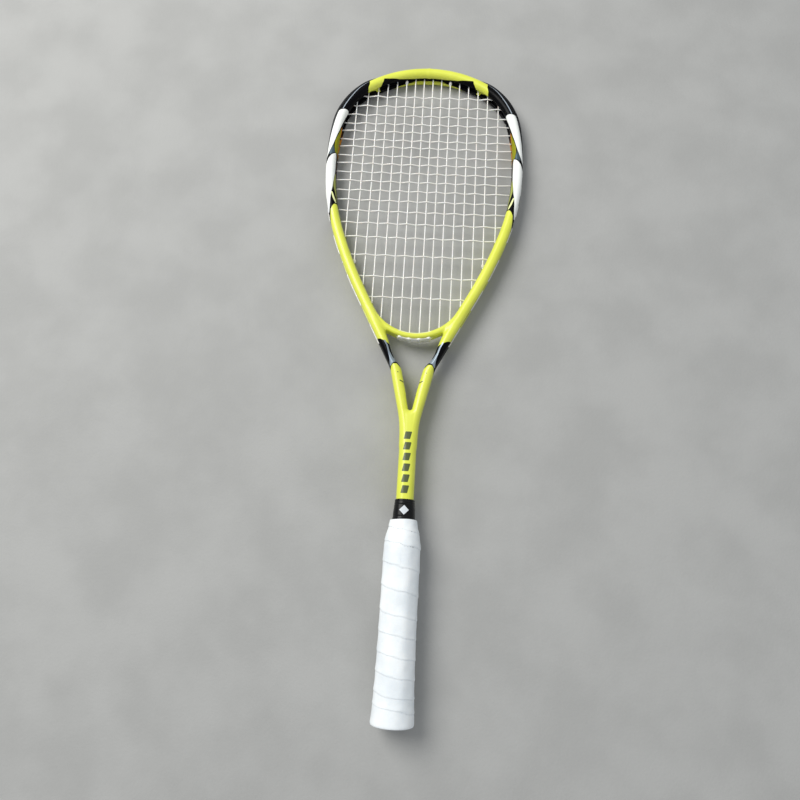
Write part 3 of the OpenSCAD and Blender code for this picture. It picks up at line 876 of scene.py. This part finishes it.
def bridge_strip():
    """White strip under the bridge: a thick band, swollen round each barrel and at its ends."""
    build = Build()
    rings = []
    r = BRIDGE_R + BRIDGE_W
    for a in np.linspace(-18.4, 18.4, 89):
        x = r * math.sin(math.radians(a))
        lump = max(math.exp(-((abs(x) - m) / 1.9) ** 2) for m in (5, 14.8))
        end = 1 - step01(17.0, 18.4, abs(a))
        thick, half = (1.1 + 0.6 * lump) * (0.3 + 0.7 * end), (4.6 + 1.0 * lump) * (0.6 + 0.4 * end)
        section = [
            (-0.2, -half), (0.6 * thick, -half), (thick, -half + 0.6), (thick + 0.1 * lump, 0),
            (thick, half - 0.6), (0.6 * thick, half), (-0.2, half), (-0.2, 0),
        ]
        s, c = math.sin(math.radians(a)), math.cos(math.radians(a))
        rings.append([((r + d) * s, BRIDGE_Y - (r + d) * c, z) for d, z in section])
    build.add(*loft(rings))
    for x in [m * s for m in MAIN_HALF[:2] for s in (-1, 1)]:
        build.add(*barrel(bridge_point(x, BRIDGE_W + 0.5), bridge_point(x, -0.7)))
    s = speckled("bridge_nylon", "FAF9F5", "EDEBE4", 250, 0.4, 0.00001)
    s.set(Subsurface_Weight=0.35, Subsurface_Radius=(0.002, 0.0018, 0.0015), Subsurface_Scale=1.0)
    build.finish("bridge_grommets", s.material, ["bridge_grommet_strip"])


bridge_strip()

# ---------------------------------------------------------------- strings

MAIN_LIFT, CROSS_LIFT = 0.45, 0.83
main_lean = [(rng.uniform(-0.3, 0.3), rng.uniform(-0.3, 0.3)) for _ in MAINS]
cross_lean = [(rng.uniform(-0.3, 0.3), rng.uniform(-0.3, 0.3)) for _ in CROSSES]


def main_x(i, y):
    k = (y - 360) / 315
    return MAINS[i] + (1 - k) * main_lean[i][0] * 0.4 + math.sin(math.pi * k) * main_lean[i][1]


def cross_y(j, x):
    return CROSSES[j] + math.cos(math.pi * x / 215) * cross_lean[j][0]


def woven(places, lifts, at):
    """Height of a string between crossings, eased from one lift to the next."""
    k = int(np.clip(np.searchsorted(places, at), 1, len(places) - 1))
    lo, hi = places[k - 1], places[k]
    f = np.clip((at - lo) / (hi - lo), 0, 1)
    return lifts[k - 1] + (lifts[k] - lifts[k - 1]) * (0.5 - 0.5 * math.cos(math.pi * f))


def main_ends(i):
    """(path length or None on the bridge, inner mouth, groove point) at the bottom and top of a main."""
    x = MAINS[i]
    side = 1 if x > 0 else -1
    flip = np.array([side, 1.0, 1.0])
    ends = []
    if abs(x) < BRIDGE_MAINS:
        under = BRIDGE_W + bridge_pad(x) + STRING_R
        ends.append((None, bridge_point(x, 0), bridge_point(x, under, 0.5)))
    else:
        t = run_at(abs(x), 0, STRIP_IN, True)
        ends.append((t * side, mouth(abs(x), 0, True) * flip, hoop_point(t, STRIP_IN, 0.5) * flip))
    t = run_at(abs(x), 0, BUMPER_IN)
    ends.append((t * side, mouth(abs(x), 0) * flip, hoop_point(t, BUMPER_IN, 0.5) * flip))
    return ends


def along_groove(ta, tb, z):
    count = max(3, int(abs(tb - ta) / 2))
    return [hoop_point(t, loop_in(t), z) for t in np.linspace(ta, tb, count + 2)[1:-1]]


def groove_loop(a, b):
    """Points along the groove, or under the bridge, from one string hole to the next."""
    ta, tb = a[0], b[0]
    if ta is None or tb is None:
        steps = np.linspace(a[2][0], b[2][0], 8)[1:-1]
        return [bridge_point(x, BRIDGE_W + bridge_pad(x) + STRING_R, 0.5) for x in steps]
    return along_groove(ta, tb, 0.5)


def main_path():
    path = []
    ends = [main_ends(i) for i in range(len(MAINS))]
    for i in range(len(MAINS)):
        up = i % 2 == 0
        (_, low_mouth, low_groove), (_, top_mouth, top_groove) = ends[i]
        lo, hi = low_mouth[1] + 1.0, top_mouth[1] - 1.0
        crossing = [j for j in range(len(CROSSES)) if lo + 1 < CROSSES[j] < hi - 1][::-1]
        places = [lo] + [cross_y(j, MAINS[i]) for j in crossing] + [hi]
        lifts = [0.0] + [-MAIN_LIFT if (i + j) % 2 == 0 else MAIN_LIFT for j in crossing] + [0.0]
        run = [low_groove, low_mouth]
        for y in np.arange(lo + 1.5, hi - 0.8, 1.7):
            run.append(np.array([main_x(i, y), y, woven(places, lifts, y)]))
        run += [top_mouth, top_groove]
        path += run if up else run[::-1]
        if i + 1 < len(MAINS):
            k = 1 if up else 0
            path += groove_loop(ends[i][k], ends[i + 1][k])
    return path


def cross_ends(j):
    y = CROSSES[j]
    deep = float(loop_in(run_at(y, 1, BUMPER_IN)))
    t = run_at(y, 1, deep)
    inner, groove = mouth(y, 1), hoop_point(t, deep, -0.5)
    flip = np.array([-1.0, 1.0, 1.0])
    return [(-t, inner * flip, groove * flip), (t, inner, groove)]


def cross_path():
    path = []
    ends = [cross_ends(j) for j in range(len(CROSSES))]
    for j in range(len(CROSSES)):
        right = j % 2 == 0
        (_, left_mouth, left_groove), (_, right_mouth, right_groove) = ends[j]
        reach = right_mouth[0] - 1.0
        met = [i for i in range(len(MAINS)) if abs(MAINS[i]) < reach - 1.5]
        places = [-reach] + [main_x(i, CROSSES[j]) for i in met] + [reach]
        lifts = [0.0] + [CROSS_LIFT if (i + j) % 2 == 0 else -CROSS_LIFT for i in met] + [0.0]
        run = [left_groove, left_mouth]
        for x in np.arange(-reach + 1.3, reach - 0.8, 1.5):
            run.append(np.array([x, cross_y(j, x), woven(places, lifts, x)]))
        run += [right_mouth, right_groove]
        path += run if right else run[::-1]
        if j + 1 < len(CROSSES):
            k = 1 if right else 0
            path += along_groove(ends[j][k][0], ends[j + 1][k][0], -0.5)
    return path


def string_piece(name, path, material, replaces):
    build = Build()
    verts, faces, along, around = tube(rounded(path, 1.4), STRING_R, 10)
    build.add(verts, faces, along=along, around=around)
    build.finish(name, material, replaces, sharp=60)


main_material = string_material("string_mains", "FBF9F6", "EFECE6")
string_piece("main_strings", main_path(), main_material, ["main_string"])
cross_material = string_material("string_crosses", "F9F7F3", "ECE9E2")
string_piece("cross_strings", cross_path(), cross_material, ["cross_string"])


def knots():
    """Each string end is wound round a main beside the hoop and drawn tight, with a short tail."""
    build = Build()
    for index, top in ((2, True), (6, False)):
        for side in (-1, 1):
            i = len(MAIN_HALF) + index if side > 0 else len(MAIN_HALF) - 1 - index
            end = main_ends(i)[1 if top else 0][1]
            toward = -1.0 if top else 1.0
            path = []
            for k in np.linspace(0, 1, 46):
                turn = 2 * math.pi * 2.6 * k
                y = end[1] + toward * (2.2 + 2.9 * k)
                r = STRING_R + 0.5
                path.append([main_x(i, y) + r * math.cos(turn), y, r * math.sin(turn)])
            last = np.array(path[-1])
            way = unit(np.array(path[-1]) - np.array(path[-2]))
            path += [last + way * d + np.array([0, toward * 0.15 * d * d, 0]) for d in (0.7, 1.4, 2.2, 3.0)]
            verts, faces, along, around = tube(path, 0.5, 8)
            build.add(verts, faces, along=along, around=around)
    build.finish("string_knots", cross_material, ["tie_off_knots"], sharp=60)


knots()

# ---------------------------------------------------------------- handle

# Heights where the tape's edge crosses the front, from the top down, run on past both ends.
SEAMS = [196, 182.5, 169, 155.7, 135.6, 114.4, 92.6, 76, 58.2, 41.6, 25.1, 15.8, -4, -30]
WRAP_TOP = 178.0
# Usual height of one turn of the tape, and how thick it is.
TAPE_STEP, TAPE_T = 19.0, 0.85


def wrap_radius(y):
    places = [0.4, 3, 12, 40, 75, 154, 164, 171, 178]
    radii = [19.2, 19.35, 18.8, 17.9, 17.35, 17.35, 15.85, 13.85, 12.75]
    return np.interp(y, places, radii)


def overgrip():
    """Tape wound up the handle from the butt, each turn lapping the one below it."""
    sides = 192
    theta = np.linspace(0, 2 * np.pi, sides, endpoint=False)
    around = theta[::-1]
    heights = np.arange(1.6, WRAP_TOP - 0.6, 0.45)
    y, a = np.meshgrid(heights, theta, indexing="ij")
    ahead = np.where(a > np.pi, a - 2 * np.pi, a)
    turns = np.interp(-y, [-v for v in SEAMS], np.arange(len(SEAMS))) - a / (2 * np.pi)
    wander = 0.02 * np.sin(3 * ahead + 1.3 * np.floor(turns)) + 0.012 * np.sin(7 * ahead + turns)
    turns = turns + wander
    frac = turns - np.floor(turns)
    below = frac * TAPE_STEP
    above = (1 - frac) * TAPE_STEP
    lap = 0.32 * step01(0.5, 1.0, frac) - 0.02
    edge = np.where(below < 0.8, (1 - step01(0.0, 0.8, below)) * 0.24, 0.0)
    crease = -0.05 * np.exp(-((below - 1.1) / 0.7) ** 2)
    lip = 0.08 * np.exp(-((above - 0.9) / 0.8) ** 2)
    tension = 0.05 * np.sin(9 * ahead + 5 * turns) * step01(0.1, 0.5, frac)
    soft = 0.16 * np.cos(8 * (ahead + np.pi / 8)) * step01(8, 30, y) * step01(170, 150, y)
    radius = wrap_radius(y) + lap + edge + crease + lip + tension + soft
    # Band just below each tape edge, where the material paints shade.
    seam = np.exp(-((below - 0.7) / 0.55) ** 2)
    outer = np.stack([radius * np.sin(a), y, radius * np.cos(a)], -1)
    outer = outer[:, ::-1]
    seam = seam[:, ::-1]

    def ring(y0, r):
        row = r + np.zeros(sides)
        wave = 0.35 * np.sin(2 * around + 0.6) if y0 > WRAP_TOP / 2 else np.zeros(sides)
        return np.stack([row * np.sin(around), y0 + wave, row * np.cos(around)], -1)

    first, last = radius[0, ::-1], radius[-1, ::-1]
    inner = [ring(h, wrap_radius(h) - TAPE_T) for h in (WRAP_TOP - 0.6, 171, 164, 154, 75, 40, 12, 3)]
    under = [ring(0.9, 17.75), ring(0.45, 17.9), ring(0.25, first - 0.9), ring(0.55, first - 0.25)]
    over = [ring(WRAP_TOP - 0.25, last - 0.15), ring(WRAP_TOP, last - 0.45), ring(WRAP_TOP - 0.1, last - 0.8)]
    rings = under + list(outer) + over + inner
    verts, faces = loft(rings, closed=True)
    hidden = np.zeros((len(over) + len(inner)) * sides)
    values = np.concatenate([np.zeros(len(under) * sides), seam.ravel(), hidden])
    build = Build()
    build.add(verts, faces, seam=values)
    build.finish("overgrip_wrap", overgrip_material(), ["overgrip"], sharp=75)


overgrip()


def oval_ring(y, half_x, half_z, sides=72, power=2.4):
    a = np.linspace(0, 2 * np.pi, sides, endpoint=False)[::-1]
    c, s = np.cos(a), np.sin(a)
    x = half_x * np.sign(c) * np.abs(c) ** (2 / power)
    z = half_z * np.sign(s) * np.abs(s) ** (2 / power)
    return np.stack([x, np.full(sides, y), z], -1)


# Height of the plain diamond on the collar, and half of its side.
MARK_Y, MARK_HALF = 186.6, 3.2


def collar():
    """Rubber sleeve over the step from handle to shaft, ribbed near its top."""
    rows = [(166, 12.2, 13.7), (172, 11.5, 12.7), (178, 10.95, 11.8)]
    for y in np.arange(179, 196.2, 0.4):
        k = (y - 178) / 19
        rib = -0.28 * max(math.exp(-((y - at) / 0.35) ** 2) for at in (181, 192.2, 194.4))
        rows.append((y, 10.9 - 1.5 * k + rib, 11.75 - 1.35 * k + rib))
    rows += [(196.6, 9.25, 10.2), (196.9, 8.95, 9.95), (197, 8.6, 9.9), (196, 8.55, 9.85), (166, 8.6, 9.9)]
    rings = [oval_ring(*r) for r in rows]
    verts, faces = loft(rings, closed=True)
    x, y, z = verts.T
    mark = np.where(z > 3, (np.abs(x) + np.abs(y - MARK_Y)) / math.sqrt(2) - MARK_HALF, 20.0)
    build = Build()
    build.add(verts, faces, mark=mark)
    build.finish("grip_collar_rubber", collar_material(), ["grip_collar"], sharp=50)


collar()


def butt():
    """Butt cap: a shallow dished disc with a raised rim, and the sleeve that goes over the foam."""
    sides = 96
    profile = [
        (0.9, 0.01), (0.9, 11.0), (0.55, 11.6), (0.55, 12.6), (0.1, 13.4), (0.0, 14.2), (0.0, 16.2),
        (0.25, 16.9), (0.9, 17.35), (3.6, 17.55), (8, 16.1), (24, 15.7), (24, 14.75), (3.9, 14.75),
        (3.9, 0.01),
    ]
    rings = []
    angle = np.linspace(0, 2 * np.pi, sides, endpoint=False)[::-1]
    for y, r in profile:
        rings.append(np.stack([r * np.cos(angle), np.full(sides, y), r * np.sin(angle)], -1))
    build = Build()
    build.add(*loft(rings[::-1]))
    s = speckled("butt_cap_plastic", "1C1E22", "292C31", 180, 0.42, 0.00002, 2500)
    build.finish("butt_cap_moulding", s.material, ["butt_cap"], sharp=35)


butt()

# ---------------------------------------------------------------- CAD nodes that are kept

KEPT = {
    "handle_core": speckled("core_foam", "C8AE84", "B79A6C", 500, 0.85, 0.0002, 1800),
    "base_grip": speckled("cushion_pu", "4A4C50", "3C3E42", 220, 0.6, 0.00008, 1500),
    "finishing_tape": speckled("cloth_tape", "59626B", "4B545C", 300, 0.55, 0.00005, 2200),
    "butt_cap_staples": speckled("staple_steel", "B9BDC0", "989DA1", 900, 0.3, 0.00001, 6000, Metallic=0.95),
    "base_grip_tack": speckled("tack_steel", "A9ADB0", "8E9396", 900, 0.34, 0.00001, 6000, Metallic=0.95),
}
for name, shader in KEPT.items():
    mesh = frame["nodes"][name].data
    mesh.materials.clear()
    mesh.materials.append(shader.material)

# ---------------------------------------------------------------- floor, light and camera

FLOOR_SLOPE, FLOOR_REACH = 0.0158, 4.0
# Height along the racket, and depth, where the handle rests on the floor, in metres.
REST_Y, REST_Z = 0.154, -0.0178


def floor():
    """The racket lies on the upper end of its handle and on the tip of the head."""
    mesh = bpy.data.meshes.new("floor")
    far = FLOOR_REACH
    rise = FLOOR_SLOPE * far
    at = REST_Z - REST_Y * FLOOR_SLOPE
    mesh.from_pydata(
        [(-far, -far, at - rise), (far, -far, at - rise), (far, far, at + rise), (-far, far, at + rise)],
        [], [(0, 1, 2, 3)],
    )
    plane = bpy.data.objects.new("floor", mesh)
    bpy.context.scene.collection.objects.link(plane)
    s = Shader("floor_paint")
    tone = s.span(s.noise(14, 5), 0.3, 0.7)
    s.set(Base_Color=s.mix(tone, linear("A3A3A1"), linear("ACACAA")), Roughness=0.85)
    s.bump((s.noise(400, 4), 0.0002))
    mesh.materials.append(s.material)


def area_light(name, place, size, power, colour):
    light = bpy.data.lights.new(name, "AREA")
    light.shape = "DISK"
    light.size = size
    light.energy = power
    light.color = colour
    lamp = bpy.data.objects.new(name, light)
    lamp.location = place
    aim = Vector((0, 0.34, 0)) - Vector(place)
    lamp.rotation_mode = "QUATERNION"
    lamp.rotation_quaternion = aim.to_track_quat("-Z", "Y")
    bpy.context.scene.collection.objects.link(lamp)


def camera():
    data = bpy.data.cameras.new("camera")
    data.sensor_width = 36.0
    data.lens = 28.8
    data.clip_start = 0.01
    cam = bpy.data.objects.new("camera", data)
    view = Vector((-0.0410, 0.2530, -0.9666)).normalized()
    up = Vector((-0.0509, 0.9656, 0.2549))
    right = view.cross(up).normalized()
    up = right.cross(view)
    turn = Matrix((right, up, -view)).transposed()
    cam.matrix_world = Matrix.Translation((0.0156, 0.1341, 0.6155)) @ turn.to_4x4()
    bpy.context.scene.collection.objects.link(cam)
    bpy.context.scene.camera = cam


def world():
    made = bpy.data.worlds.new("sky")
    made.use_nodes = True
    back = made.node_tree.nodes["Background"]
    back.inputs["Color"].default_value = (0.92, 0.96, 1.0, 1.0)
    back.inputs["Strength"].default_value = 0.45
    bpy.context.scene.world = made


floor()
world()
area_light("key", (-1.3, 1.3, 1.9), 1.6, 58, (1.0, 0.99, 0.96))
area_light("fill", (1.5, -0.6, 1.8), 2.0, 6, (0.94, 0.97, 1.0))
camera()
bpy.context.scene.view_settings.view_transform = "Standard"
